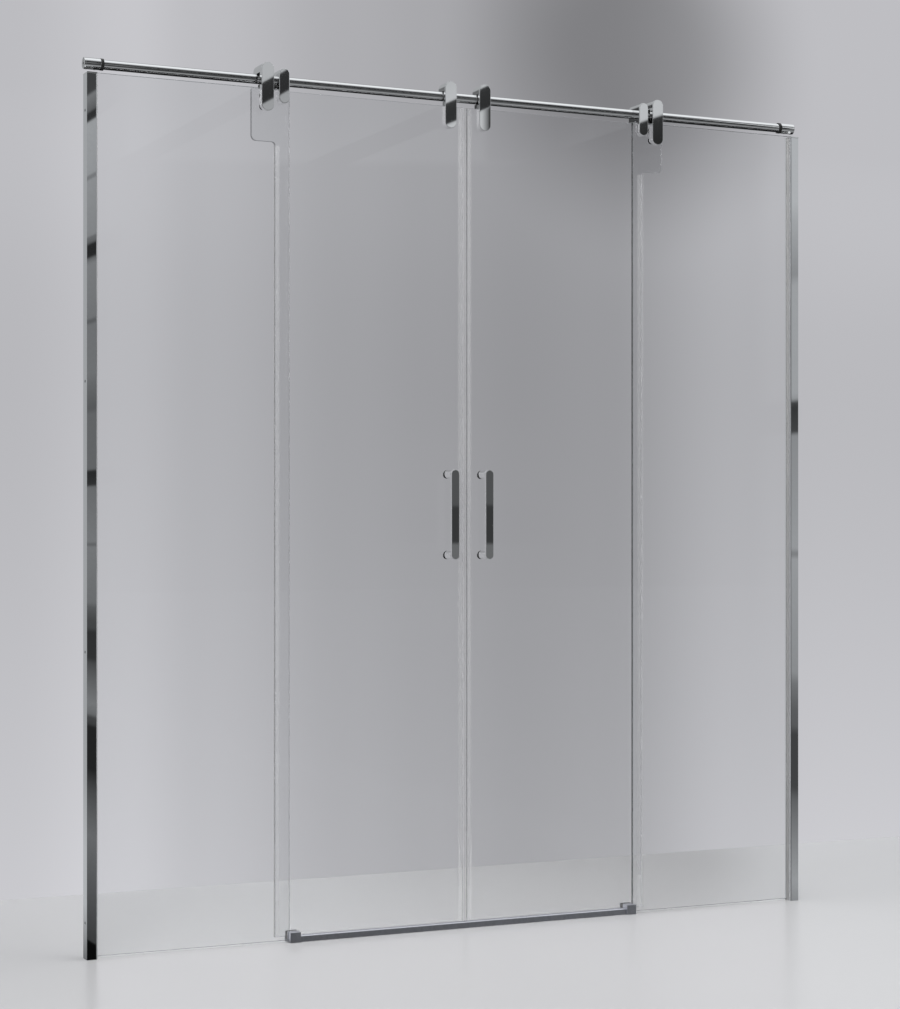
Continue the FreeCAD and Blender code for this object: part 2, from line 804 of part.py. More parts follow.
def glass_bushes():
    """All clear sleeves and washers in one door's holes."""
    pieces = []
    for carriage in carriages:
        hole_radius = screw_radius + slip_clearance
        for z in carriage_screw_heights():
            pieces += glass_bush(carriage["x"], door_front, z, hole_radius, hanger_width / 2)
    for z in handle_screw_heights():
        hole_radius = handle_screw_radius + slip_clearance
        pieces += glass_bush(at_reach(centre_carriage_reach), door_front, z, hole_radius, disc_radius)
    return pieces


def handle_bar():
    x = at_reach(centre_carriage_reach)
    low = handle_centre - handle_length / 2
    bar = stadium(x, handle_width, low, low + handle_length, handle_bar_front, handle_bar_back)
    return bar.makeFillet(handle_round, edges_in_plane(bar, handle_bar_front))


def handle_post(z):
    x = at_reach(centre_carriage_reach)
    foot = door_front - washer_thickness
    body = rod(post_radius, vector(x, handle_bar_back, z), inward, foot - handle_bar_back)
    depth = handle_screw_grip + slip_clearance
    thread = rod(handle_screw_radius + slip_clearance, vector(x, foot, z), outward, depth)
    return body.cut(thread)


def handle_screw(z):
    """Flat-headed screw from inside the shower, through the glass into a post."""
    x = at_reach(centre_carriage_reach)
    seat = door_back + washer_thickness
    head = rod(disc_radius, vector(x, seat, z), inward, handle_screw_head)
    tip = door_front - washer_thickness - handle_screw_grip
    shank = rod(handle_screw_radius, vector(x, tip, z), inward, seat - tip)
    return head.fuse(shank).cut(hex_socket(x, seat + handle_screw_head, z, outward))


# Output


def mirrored(shape):
    return shape.mirror(vector(0, 0, 0), across)


def save(name, pieces):
    shape = pieces[0] if len(pieces) == 1 else Part.makeCompound(pieces)
    shape.exportStep("parts/" + name + ".step")


def save_each_side(name, pieces):
    """One node for the right-hand side and one for its mirror image."""
    save(name + "_right", pieces)
    save(name + "_left", [mirrored(piece) for piece in pieces])


def save_both_sides(name, pieces):
    """One node that holds the pieces of both sides."""
    save(name, pieces + [mirrored(piece) for piece in pieces])


os.makedirs("parts", exist_ok=True)

save_each_side("wall_profile", [wall_profile()])
save_both_sides("glazing_gaskets", glazing_gaskets())
save_both_sides("profile_caps", [profile_cap()])
save_each_side("fixed_glass", [fixed_glass()])
save_both_sides("setting_blocks", setting_blocks())
save_both_sides("pane_seals", pane_seals())
save_each_side("guide_block", [guide_block()])
save_both_sides("guide_inserts", [guide_insert()])
save("threshold_bar", [threshold_bar()])

save("rail_tube", [rail_tube()])
save_both_sides("rail_sockets", [rail_socket()])
save_both_sides("rail_plugs", [rail_plug()])
save_both_sides("rail_grub_screws", [socket_grub(reach) for reach in grub_reaches()] + [clamp_grub()])
save_both_sides("rail_buffers", [rail_buffer(), closing_buffer()])
save_each_side("fixed_clamp", [fixed_clamp()])
save_both_sides("clamp_bushes", clamp_bushes())
save_both_sides("clamp_discs", [clamp_disc()])
save_both_sides("clamp_screws", [clamp_screw()])

save_each_side("door_glass", [door_glass()])
save_each_side("meeting_seal", [meeting_seal()])
save_each_side("edge_seal", [edge_seal()])
save_each_side("outer_carriage_body", [carriage_body(outer_carriage)])
save_each_side("centre_carriage_body", [carriage_body(centre_carriage)])
save_each_side("carriage_covers", [carriage_cover(carriage) for carriage in carriages])
save_each_side("carriage_axles", [piece for carriage in carriages for piece in carriage_axle(carriage)])
save_each_side("anti_lift_pads", [anti_lift_pad(carriage["x"]) for carriage in carriages])
save_each_side("carriage_discs", [piece for carriage in carriages for piece in carriage_discs(carriage["x"])])
save_each_side("carriage_screws", [piece for carriage in carriages for piece in carriage_screws(carriage)])
save_each_side("glass_bushes", glass_bushes())
save_each_side("handle_bar", [handle_bar()])
save_each_side("handle_posts", [handle_post(z) for z in handle_screw_heights()])
save_each_side("handle_screws", [handle_screw(z) for z in handle_screw_heights()])
save_each_side("outer_wheel_tyre", [wheel_tyre(outer_carriage["x"])])
save_each_side("centre_wheel_tyre", [wheel_tyre(centre_carriage["x"])])
save_each_side("outer_wheel_race", [wheel_race(outer_carriage["x"])])
save_each_side("centre_wheel_race", [wheel_race(centre_carriage["x"])])
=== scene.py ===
import json
import math

import bmesh
import bpy
from mathutils import Matrix, Vector

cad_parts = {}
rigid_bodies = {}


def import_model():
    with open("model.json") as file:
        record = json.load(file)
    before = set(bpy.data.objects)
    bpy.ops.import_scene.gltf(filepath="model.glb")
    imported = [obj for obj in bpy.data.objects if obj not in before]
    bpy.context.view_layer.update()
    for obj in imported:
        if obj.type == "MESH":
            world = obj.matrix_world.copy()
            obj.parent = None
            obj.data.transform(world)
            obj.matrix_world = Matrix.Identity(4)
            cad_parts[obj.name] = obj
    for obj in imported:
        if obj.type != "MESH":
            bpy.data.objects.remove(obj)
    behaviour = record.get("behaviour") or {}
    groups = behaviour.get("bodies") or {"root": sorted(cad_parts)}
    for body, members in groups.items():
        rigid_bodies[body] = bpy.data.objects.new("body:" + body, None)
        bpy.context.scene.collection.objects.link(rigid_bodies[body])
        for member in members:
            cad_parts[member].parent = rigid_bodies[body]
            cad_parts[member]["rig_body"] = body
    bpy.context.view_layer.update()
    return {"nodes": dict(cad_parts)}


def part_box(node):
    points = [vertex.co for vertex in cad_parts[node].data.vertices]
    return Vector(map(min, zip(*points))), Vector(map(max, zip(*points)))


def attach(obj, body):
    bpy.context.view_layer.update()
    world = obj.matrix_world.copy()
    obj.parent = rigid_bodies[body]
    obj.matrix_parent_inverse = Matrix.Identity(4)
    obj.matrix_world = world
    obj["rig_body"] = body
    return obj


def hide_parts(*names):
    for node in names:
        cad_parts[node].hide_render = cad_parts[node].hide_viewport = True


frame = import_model()
nodes = frame["nodes"]
scene = bpy.context.scene
scene.view_settings.view_transform = "Standard"
print("frame loaded:", len(nodes), "nodes")


# a grey as it looks on screen, from 0 to 255, made into a colour for a socket
def shown(grey, tint=(1.0, 1.0, 1.0)):
    value = grey / 255
    value = value / 12.92 if value <= 0.04045 else ((value + 0.055) / 1.055) ** 2.4
    return tuple(value * part for part in tint) + (1.0,)


def setInputs(tree, node, inputs):
    for name, value in inputs.items():
        if isinstance(value, bpy.types.NodeSocket):
            tree.links.new(value, node.inputs[name])
        else:
            node.inputs[name].default_value = value


def addNode(tree, kind, inputs=None, **settings):
    node = tree.nodes.new(kind)
    for name, value in settings.items():
        setattr(node, name, value)
    setInputs(tree, node, inputs or {})
    return node


def doMath(tree, operation, first, second=0.0, clamp=False):
    inputs = {0: first, 1: second}
    return addNode(tree, "ShaderNodeMath", inputs, operation=operation, use_clamp=clamp).outputs[0]


def times(tree, first, second, clamp=False):
    return doMath(tree, "MULTIPLY", first, second, clamp)


def plus(tree, first, second, clamp=False):
    return doMath(tree, "ADD", first, second, clamp)


def minus(tree, first, second):
    return doMath(tree, "SUBTRACT", first, second)


def mixColour(tree, factor, first, second, blend="MIX"):
    inputs = {0: factor, 6: first, 7: second}
    return addNode(tree, "ShaderNodeMix", inputs, data_type="RGBA", blend_type=blend).outputs[2]


def remap(tree, value, fromLow, fromHigh, toLow=0.0, toHigh=1.0, kind="LINEAR"):
    inputs = {"Value": value, "From Min": fromLow, "From Max": fromHigh, "To Min": toLow, "To Max": toHigh}
    return addNode(tree, "ShaderNodeMapRange", inputs, interpolation_type=kind).outputs[0]


# 1 between the rise and the fall, each given as (start, end), and 0 beyond them
def between(tree, value, rise, fall):
    return times(tree, remap(tree, value, *rise), remap(tree, value, *fall, 1.0, 0.0))


# a run of greys between two values of the source
def greyRun(tree, source, stops, interpolation="LINEAR"):
    low, high = stops[0][0], stops[-1][0]
    node = addNode(tree, "ShaderNodeValToRGB", {0: remap(tree, source, low, high)})
    ramp = node.color_ramp
    ramp.interpolation = interpolation
    ramp.elements[0].color, ramp.elements[1].color = shown(stops[0][1]), shown(stops[-1][1])
    for place, grey in stops[1:-1]:
        ramp.elements.new((place - low) / (high - low)).color = shown(grey)
    return node.outputs[0]


def scaleColour(tree, colour, factor):
    return addNode(tree, "ShaderNodeVectorMath", {0: colour, "Scale": factor}, operation="SCALE").outputs[0]


def axisValues(tree, vector):
    return addNode(tree, "ShaderNodeSeparateXYZ", {0: vector}).outputs


def noise(tree, vector, scale, detail, roughness=0.5):
    inputs = {"Vector": vector, "Scale": scale, "Detail": detail, "Roughness": roughness}
    return addNode(tree, "ShaderNodeTexNoise", inputs).outputs[0]


def stretched(tree, vector, scale, turn=(0, 0, 0)):
    inputs = {"Vector": vector, "Scale": scale, "Rotation": turn}
    return addNode(tree, "ShaderNodeMapping", inputs).outputs[0]


# What the polished metal mirrors: a plain studio of light and dark bands.
# climb is degrees up or down seen from the side, pitch the same seen from the front,
# and spread is how far a direction points sideways for each step forwards or back.
# Runs of greys are lists of (place, grey), and ranges are (start, end).
studio = {
    "lightGrey": 222, "lightStrength": 0.62, "lightTint": (1, 1, 1.01),
    "farGrey": 214, "farTint": (1, 1, 1.02), "overheadGain": 2.0, "overheadFrom": (0.25, 0.6),
    "tint": (0.97, 1.0, 1.03, 1.0), "turnBack": (-0.05, 0.05), "leastRun": 0.001,
    "bands": [
        [(-34, 58), (-26.5, 104), (-23, 72), (-21.8, 50), (-21.2, 35), (-17.6, 35), (-17.4, 60), (-17, 66),
         (-16.8, 66), (-16.5, 104), (-15.6, 118), (-12, 73), (-11.5, 50), (-9.1, 48), (-8.7, 68), (-8, 70)],
        [(-8, 70), (-6.8, 88), (-6.3, 108), (-1.1, 118), (-0.9, 98), (-0.8, 98), (-0.6, 118), (4.6, 106),
         (4.8, 50), (5.9, 40), (6.1, 44), (6.3, 100), (11.4, 100)],
        [(11.4, 100), (11.9, 87), (14.3, 104), (15, 112), (19.3, 112), (19.5, 92), (19.7, 92), (19.9, 114),
         (24.3, 123), (24.7, 100), (24.9, 40), (25.8, 38), (26, 98), (26.4, 104), (26.5, 131)],
        [(26.5, 131), (30.6, 142), (30.7, 118), (30.9, 118), (31, 147), (34.5, 155), (34.65, 48), (35.1, 46),
         (35.25, 92), (36.2, 118), (36.4, 63), (41, 60)],
    ],
    "gain": {"spread": (0.29, 0.38), "low": 1.2, "high": 2.1,
             "farSpread": (0.62, 0.66), "farClimb": (5.8, 6.6), "far": 0.55},
    "inside": [(0.292, 0.302), (0.65, 0.662)],
    "rail": {"above": 41, "below": -34, "climb": (-17, -15),
             "greys": [(-90, 70), (-74, 116), (-47, 160), (-26, 84), (-12, 12), (20, 12), (28, 62),
                       (40, 108), (53, 178), (65, 252), (90, 255)]},
    "plates": {"height": [(0.166, 0.17), (0.214, 0.218)],
               "greys": [(17, 120), (19.1, 60), (19.25, 42), (20.55, 54), (20.62, 204), (23.93, 204),
                         (24.0, 50), (25.04, 56), (25.11, 204), (28.5, 172), (29.62, 168), (29.69, 48),
                         (30.84, 54), (30.91, 190), (32.6, 190)]},
    "darkBar": {"spread": [(0.4868, 0.4915), (0.53, 0.55)], "under": (23.9, 24), "grey": 62},
    "handles": {"spread": 0.48, "wide": (0.03, 0.06), "climb": (5.5, 7),
                "greys": [(-6, 110), (-0.6, 110), (-0.4, 60), (1.7, 60), (1.9, 86), (6, 88)]},
    "behind": [(-1, 44), (-0.91, 34), (-0.89, 10), (-0.57, 10), (-0.53, 120), (-0.47, 120), (-0.44, 18),
               (-0.2, 18), (-0.165, 190), (0.1, 208), (0.4, 245), (1, 255)],
    "hoods": {"height": (-0.14, -0.11), "depth": (0.4, 0.6),
              "greys": [(0.36, 172), (0.4, 162), (0.465, 118), (0.5, 104), (0.57, 66), (0.62, 60),
                        (0.66, 205)]},
}


def frontHalf(tree, look, climb, pitch, spread, z):
    front = greyRun(tree, climb, look["bands"][0])
    for greys in look["bands"][1:]:
        above = doMath(tree, "GREATER_THAN", climb, greys[0][0])
        front = mixColour(tree, above, front, greyRun(tree, climb, greys))
    # brighter as the spread grows
    gain = look["gain"]
    brighter = remap(tree, spread, *gain["spread"], gain["low"], gain["high"])
    farOut = times(tree, remap(tree, spread, *gain["farSpread"]), remap(tree, climb, *gain["farClimb"]))
    brighter = times(tree, brighter, plus(tree, times(tree, farOut, gain["far"]), 1.0))
    front = scaleColour(tree, front, brighter)
    # what fills the round rail: light above, dark at eye level, grey below
    rail = look["rail"]
    inside = between(tree, spread, *look["inside"])
    beyond = doMath(tree, "GREATER_THAN", climb, rail["above"])
    beyond = plus(tree, beyond, doMath(tree, "LESS_THAN", climb, rail["below"]))
    beyond = doMath(tree, "MAXIMUM", beyond, times(tree, inside, remap(tree, climb, *rail["climb"])))
    front = mixColour(tree, beyond, front, greyRun(tree, pitch, rail["greys"]))
    # bars that only the plates on the rail mirror
    plates, bar = look["plates"], look["darkBar"]
    beside = between(tree, z, *plates["height"])
    front = mixColour(tree, times(tree, inside, beside), front, greyRun(tree, climb, plates["greys"]))
    upright = times(tree, between(tree, spread, *bar["spread"]), beside)
    upright = times(tree, upright, remap(tree, climb, *bar["under"], 1.0, 0.0))
    front = mixColour(tree, upright, front, shown(bar["grey"]))
    # dim patch that the handles mirror
    handles = look["handles"]
    level = remap(tree, doMath(tree, "ABSOLUTE", climb), *handles["climb"], 1.0, 0.0)
    apart = doMath(tree, "ABSOLUTE", minus(tree, spread, handles["spread"]))
    patch = times(tree, level, remap(tree, apart, *handles["wide"], 1.0, 0.0))
    return mixColour(tree, patch, front, greyRun(tree, climb, handles["greys"]))


def backHalf(tree, look, spread, y, z):
    back = greyRun(tree, z, look["behind"])
    # greys that change with the spread, where the sides and hoods of the carriages mirror them
    hoods = look["hoods"]
    straight = times(tree, remap(tree, z, *hoods["height"]), remap(tree, y, *hoods["depth"]))
    return mixColour(tree, straight, back, greyRun(tree, spread, hoods["greys"]))


def buildWorld(look):
    world = bpy.data.worlds.new("studio")
    scene.world = world
    world.use_nodes = True
    tree = world.node_tree
    tree.nodes.clear()
    x, y, z = axisValues(tree, addNode(tree, "ShaderNodeTexCoord").outputs["Generated"])
    runs = [doMath(tree, "ABSOLUTE", way) for way in (x, y)]
    sideways, forwards = [doMath(tree, "MAXIMUM", run, look["leastRun"]) for run in runs]
    angles = [doMath(tree, "ARCTAN2", z, run) for run in (sideways, forwards)]
    climb, pitch = [times(tree, angle, math.degrees(1)) for angle in angles]
    spread = doMath(tree, "DIVIDE", sideways, forwards)
    front = frontHalf(tree, look, climb, pitch, spread, z)
    back = backHalf(tree, look, spread, y, z)
    mirrored = mixColour(tree, remap(tree, y, *look["turnBack"]), front, back)
    mirrored = mixColour(tree, 1.0, mirrored, look["tint"], "MULTIPLY")
    # mirror images see the bands, a look past the part sees a plain grey, and the rest is soft light
    rays = addNode(tree, "ShaderNodeLightPath")
    inputs = {"Color": shown(look["lightGrey"], look["lightTint"]), "Strength": look["lightStrength"]}
    light = addNode(tree, "ShaderNodeBackground", inputs)
    overhead = remap(tree, z, *look["overheadFrom"], 1.0, look["overheadGain"])
    inputs = {"Color": shown(look["farGrey"], look["farTint"]), "Strength": overhead}
    far = addNode(tree, "ShaderNodeBackground", inputs)
    shine = addNode(tree, "ShaderNodeBackground", {"Color": mirrored})
    seen = doMath(tree, "MAXIMUM", rays.outputs["Is Camera Ray"], rays.outputs["Is Transmission Ray"])
    base = addNode(tree, "ShaderNodeMixShader", {0: seen, 1: light.outputs[0], 2: far.outputs[0]})
    bounced = doMath(tree, "GREATER_THAN", rays.outputs["Glossy Depth"], 0.5)
    whole = addNode(tree, "ShaderNodeMixShader", {0: bounced, 1: base.outputs[0], 2: shine.outputs[0]})
    addNode(tree, "ShaderNodeOutputWorld", {0: whole.outputs[0]})


buildWorld(studio)


def newMaterial(name):
    material = bpy.data.materials.new(name)
    material.use_nodes = True
    material.node_tree.nodes.clear()
    return material, material.node_tree


def finishMaterial(tree, shader):
    addNode(tree, "ShaderNodeOutputMaterial", {0: shader.outputs[0]})


def finishSurface(tree, inputs):
    finishMaterial(tree, addNode(tree, "ShaderNodeBsdfPrincipled", inputs))


def objectPlace(tree):
    return addNode(tree, "ShaderNodeTexCoord").outputs["Object"]


def flatSheet(name, corners, material):
    bm = bmesh.new()
    bm.faces.new([bm.verts.new(corner) for corner in corners])
    mesh = bpy.data.meshes.new(name)
    bm.to_mesh(mesh)
    bm.free()
    sheet = bpy.data.objects.new(name, mesh)
    scene.collection.objects.link(sheet)
    mesh.materials.append(material)
    sheet.visible_glossy = False


floorLook = {"half": 30.0, "grey": 228, "tint": (1, 1, 1.01), "cloud": 3, "cloudScale": 0.7,
             "roughness": 0.22, "ior": 1.3}


def floorMaterial(look):
    material, tree = newMaterial("paleFloor")
    cloud = noise(tree, objectPlace(tree), look["cloudScale"], 2.0)
    dark, light = [shown(look["grey"] + step, look["tint"]) for step in (-look["cloud"], look["cloud"])]
    tone = mixColour(tree, cloud, dark, light)
    finishSurface(tree, {"Base Color": tone, "Roughness": look["roughness"], "IOR": look["ior"]})
    return material


half = floorLook["half"]
corners = [(-half, -half, 0), (half, -half, 0), (half, half, 0), (-half, half, 0)]
flatSheet("floor", corners, floorMaterial(floorLook))

# painted light and shade on the backdrop: greys across it, how much brighter it is at each height, and a
# painted shadow patch on it
backdropLook = {
    "depth": 0.85, "halfWidth": 9.0, "height": 6.0, "tint": (1.0, 1.0, 1.05, 1.0),
    "across": [(-2.0, 170), (-0.9, 184), (-0.57, 194), (-0.38, 185), (0.05, 169), (0.29, 164), (0.575, 158),
               (0.84, 161), (1.31, 184), (1.7, 186), (3.0, 184)],
    "up": [(0.0, 1.22), (0.5, 1.11), (1.25, 1.0), (1.5, 1.0), (1.95, 1.07), (2.1, 1.05)],
    "mostGain": 2.0,
    "shade": {"x": 0.95, "z": 2.35, "core": 0.15, "wide": 0.66, "strength": 0.42},
}


def backdropMaterial(look):
    material, tree = newMaterial("greyBackdrop")
    place = objectPlace(tree)
    x, y, z = axisValues(tree, place)
    # painted light and shade: the backdrop's grey changes across it and is brighter at some heights
    tone = greyRun(tree, x, look["across"], "EASE")
    top, most = look["up"][-1][0], look["mostGain"]
    up = addNode(tree, "ShaderNodeFloatCurve", {1: remap(tree, z, 0.0, top)})
    curve = up.mapping.curves[0]
    points = [(height / top, gain / most) for height, gain in look["up"]]
    curve.points[0].location, curve.points[1].location = points[0], points[-1]
    for point in points[1:-1]:
        curve.points.new(*point)
    up.mapping.update()
    tone = scaleColour(tree, tone, times(tree, up.outputs[0], most))
    # painted shadow: the backdrop is darker in a soft patch around this point
    dark = look["shade"]
    inputs = {0: place, 1: (dark["x"], look["depth"], dark["z"])}
    away = addNode(tree, "ShaderNodeVectorMath", inputs, operation="DISTANCE").outputs["Value"]
    shade = remap(tree, away, dark["core"], dark["wide"], 1 - dark["strength"], 1.0, "SMOOTHSTEP")
    tone = mixColour(tree, 1.0, scaleColour(tree, tone, shade), look["tint"], "MULTIPLY")
    glow = addNode(tree, "ShaderNodeEmission", {"Color": tone})
    clear = addNode(tree, "ShaderNodeBsdfTransparent")
    behind = addNode(tree, "ShaderNodeNewGeometry").outputs["Backfacing"]
    inputs = {0: behind, 1: glow.outputs[0], 2: clear.outputs[0]}
    finishMaterial(tree, addNode(tree, "ShaderNodeMixShader", inputs))
    return material


wide, tall, deep = backdropLook["halfWidth"], backdropLook["height"], backdropLook["depth"]
corners = [(-wide, deep, 0), (wide, deep, 0), (wide, deep, tall), (-wide, deep, tall)]
flatSheet("backdrop", corners, backdropMaterial(backdropLook))

lamps = [
    {"name": "softTop", "place": (0.2, -0.9, 3.6), "aim": (0, 0, 0.4), "size": 2.6, "power": 46},
    {"name": "softFront", "place": (-2.6, -4.2, 2.8), "aim": (0, 0, 1.0), "size": 2.4, "power": 60},
]
for lamp in lamps:
    light = bpy.data.lights.new(lamp["name"], "AREA")
    light.size, light.energy = lamp["size"], lamp["power"]
    holder = bpy.data.objects.new(lamp["name"], light)
    scene.collection.objects.link(holder)
    holder.location = lamp["place"]
    holder.rotation_euler = (Vector(lamp["aim"]) - Vector(lamp["place"])).to_track_quat("-Z", "Y").to_euler()
    holder.visible_glossy = False
    holder.visible_camera = False

cameraLook = {"place": (-2.2475, -4.696, 0.9335), "turn": -25.13,
              "sensor": 36.0, "lens": 77.92, "shiftY": 0.0307}
camera = bpy.data.cameras.new("camera")
camera.sensor_width, camera.lens = cameraLook["sensor"], cameraLook["lens"]
camera.shift_y = cameraLook["shiftY"]
viewer = bpy.data.objects.new("camera", camera)
scene.collection.objects.link(viewer)
viewer.location = cameraLook["place"]
viewer.rotation_euler = (math.radians(90), 0, math.radians(cameraLook["turn"]))
scene.camera = viewer
print("studio, lamps and camera ready")


# wear and surface effects, shared by the finishes
def newGroup(name, inputs, outputs):
    group = bpy.data.node_groups.new(name, "ShaderNodeTree")
    for label, value in inputs.items():
        kind = "NodeSocketVector" if value is None else "NodeSocketFloat"
        socket = group.interface.new_socket(name=label, in_out="INPUT", socket_type=kind)
        if value is not None:
            socket.default_value = value
    for label in outputs:
        group.interface.new_socket(name=label, in_out="OUTPUT", socket_type="NodeSocketFloat")
    given = group.nodes.new("NodeGroupInput").outputs
    return group, given, group.nodes.new("NodeGroupOutput")


# where most of a noise's values lie
noiseRange = (0.3, 0.7)

# fine lines left by wiping, in two directions, each given as (turn, stretch)
# start is the noise value where a mark begins, reach how far its cover lowers that, soft its edge
hairlineLook = {"ways": [((0.3, 0.5, 0.2), (700, 9, 900)), ((-0.6, 0.2, 0.9), (11, 800, 600))],
                "start": 0.78, "reach": 0.25, "soft": 0.06}


def makeHairlines(look):
    group, given, result = newGroup("hairlines", {"Vector": None, "Cover": 0.3}, ["Mask", "Height"])
    total = 0.0
    for turn, scale in look["ways"]:
        lines = noise(group, stretched(group, given["Vector"], scale, turn), 1.0, 1.0)
        start = minus(group, look["start"], times(group, given["Cover"], look["reach"]))
        strength = remap(group, minus(group, lines, start), 0.0, look["soft"])
        total = doMath(group, "MAXIMUM", total, strength)
    setInputs(group, result, {"Mask": total, "Height": times(group, total, -1.0)})
    return group


# smears and dull patches that hands leave
handMarkLook = {"roughness": 0.6, "fineScale": 6.3, "start": 0.7, "reach": 0.3, "soft": 0.18,
                "thinnest": 0.35}


def makeHandMarks(look):
    group, given, result = newGroup("handMarks", {"Vector": None, "Scale": 14.0, "Cover": 0.4}, ["Mask"])
    broad = noise(group, given["Vector"], given["Scale"], 4.0, look["roughness"])
    fine = noise(group, given["Vector"], times(group, given["Scale"], look["fineScale"]), 2.0)
    start = minus(group, look["start"], times(group, given["Cover"], look["reach"]))
    patch = remap(group, minus(group, broad, start), 0.0, look["soft"], kind="SMOOTHSTEP")
    broken = remap(group, fine, *noiseRange, look["thinnest"], 1.0)
    setInputs(group, result, {"Mask": times(group, patch, broken)})
    return group


# dust that lies on faces that look up
dustLook = {"speckScale": 900.0, "specks": (0.42, 0.62), "cloudScale": 35.0, "thinnest": 0.3,
            "upwards": (0.35, 0.95)}


def makeDust(look):
    group, given, result = newGroup("settledDust", {"Vector": None, "Amount": 0.3}, ["Mask"])
    upwards = axisValues(group, addNode(group, "ShaderNodeNewGeometry").outputs["Normal"])[2]
    specks = remap(group, noise(group, given["Vector"], look["speckScale"], 2.0), *look["specks"])
    cloud = noise(group, given["Vector"], look["cloudScale"], 3.0)
    cloud = remap(group, cloud, *noiseRange, look["thinnest"], 1.0)
    lying = times(group, remap(group, upwards, *look["upwards"]), times(group, specks, cloud))
    setInputs(group, result, {"Mask": times(group, lying, given["Amount"], clamp=True)})
    return group


# edges that rub and shine more
edgeWearLook = {"soft": 0.05, "broken": (0.35, 0.6)}


def makeEdgeWear(look):
    group, given, result = newGroup("edgeWear", {"Vector": None, "Start": 0.53, "Scale": 120.0}, ["Mask"])
    ridge = addNode(group, "ShaderNodeNewGeometry").outputs["Pointiness"]
    over = remap(group, minus(group, ridge, given["Start"]), 0.0, look["soft"])
    broken = remap(group, noise(group, given["Vector"], given["Scale"], 3.0), *look["broken"])
    setInputs(group, result, {"Mask": times(group, over, broken)})
    return group


# long parallel grain: the vector comes stretched along it
grainLook = {"roughness": 0.65, "fineScale": (3.1, 3.1, 3.1), "coarseShare": 0.6}


def makeGrain(look):
    group, given, result = newGroup("drawnGrain", {"Vector": None, "Contrast": 0.5}, ["Tone", "Height"])
    coarse = noise(group, given["Vector"], 1.0, 3.0, look["roughness"])
    fine = noise(group, stretched(group, given["Vector"], look["fineScale"]), 1.0, 2.0)
    share = look["coarseShare"]
    both = plus(group, times(group, coarse, share), times(group, fine, 1 - share))
    centred = times(group, minus(group, both, 0.5), given["Contrast"])
    setInputs(group, result, {"Tone": plus(group, centred, 0.5, clamp=True), "Height": both})
    return group


# dried drops and runs on glass, denser low down
waterLook = {"dropScale": 90.0, "ring": [(0.16, 0.2), (0.2, 0.26)], "patchScale": 4.0,
             "patches": (0.5, 0.62), "runScale": (60, 60, 1.5), "runs": (0.64, 0.74), "runCover": 0.6,
             "height": 1.3, "leastCover": 0.15}


def makeWaterMarks(look):
    group, given, result = newGroup("waterMarks", {"Vector": None, "Cover": 0.3}, ["Mask"])
    vector = given["Vector"]
    inputs = {"Vector": vector, "Scale": look["dropScale"], "Randomness": 1.0}
    drops = addNode(group, "ShaderNodeTexVoronoi", inputs).outputs["Distance"]
    patches = remap(group, noise(group, vector, look["patchScale"], 3.0), *look["patches"])
    ring = times(group, between(group, drops, *look["ring"]), patches)
    runs = noise(group, stretched(group, vector, look["runScale"]), 1.0, 2.0)
    runs = remap(group, runs, *look["runs"], 0.0, look["runCover"])
    low = remap(group, axisValues(group, vector)[2], 0.0, look["height"], 1.0, look["leastCover"])
    marks = times(group, doMath(group, "MAXIMUM", ring, runs), low)
    setInputs(group, result, {"Mask": times(group, marks, given["Cover"], clamp=True)})
    return group


effects = {
    "hairlines": makeHairlines(hairlineLook), "handMarks": makeHandMarks(handMarkLook),
    "dust": makeDust(dustLook), "edgeWear": makeEdgeWear(edgeWearLook),
    "grain": makeGrain(grainLook), "waterMarks": makeWaterMarks(waterLook),
}


def addEffect(tree, name, inputs):
    node = addNode(tree, "ShaderNodeGroup", node_tree=effects[name])
    setInputs(tree, node, inputs)
    return node.outputs


def bumpFrom(tree, height, look):
    inputs = {"Height": height, "Strength": look["bump"], "Distance": look["bumpDepth"]}
    return addNode(tree, "ShaderNodeBump", inputs).outputs[0]


dustTint = (1.0, 0.99, 0.97)

# plated or polished metal: a mirror with smears, wipe lines and a little dust
polishedShared = {"tint": (1.0, 1.0, 1.0), "smearDarker": 7, "worn": 0.5, "wornLighter": 8,
                  "lineRoughness": 0.02, "dustGrey": 150, "dustRoughness": 0.35,
                  "bump": 0.01, "bumpDepth": 0.00001}


def polishedMetal(name, own):
    look = polishedShared | own
    material, tree = newMaterial(name)
    place = objectPlace(tree)
    inputs = {"Vector": place, "Scale": look["smearScale"], "Cover": look["smears"]}
    smear = addEffect(tree, "handMarks", inputs)["Mask"]
    lines = addEffect(tree, "hairlines", {"Vector": place, "Cover": look["lines"]})
    dust = addEffect(tree, "dust", {"Vector": place, "Amount": look["dust"]})["Mask"]
    worn = times(tree, addEffect(tree, "edgeWear", {"Vector": place})["Mask"], look["worn"])
    grey, tint = look["grey"], look["tint"]
    tone = mixColour(tree, smear, shown(grey, tint), shown(grey - look["smearDarker"], tint))
    tone = mixColour(tree, worn, tone, shown(grey + look["wornLighter"], tint))
    tone = mixColour(tree, dust, tone, shown(look["dustGrey"], dustTint))
    rough = plus(tree, look["roughness"], times(tree, smear, look["smearRoughness"]))
    rough = plus(tree, rough, times(tree, lines["Mask"], look["lineRoughness"]))
    rough = plus(tree, rough, times(tree, dust, look["dustRoughness"]), clamp=True)
    bump = bumpFrom(tree, lines["Height"], look)
    finishSurface(tree, {"Base Color": tone, "Metallic": 1.0, "Roughness": rough, "Normal": bump})
    return material


# drawn, brushed or turned metal with its grain along one axis
grainedShared = {"tint": (1.0, 1.0, 1.0), "smears": 0.4, "smearScale": 18.0, "smearRoughness": 0.06,
                 "worn": 0.6, "wornLighter": 45, "lightest": 245, "grainRange": (0.2, 0.8),
                 "roughSwing": 0.05, "dustGrey": 158, "dustRoughness": 0.25, "bumpDepth": 0.00004}


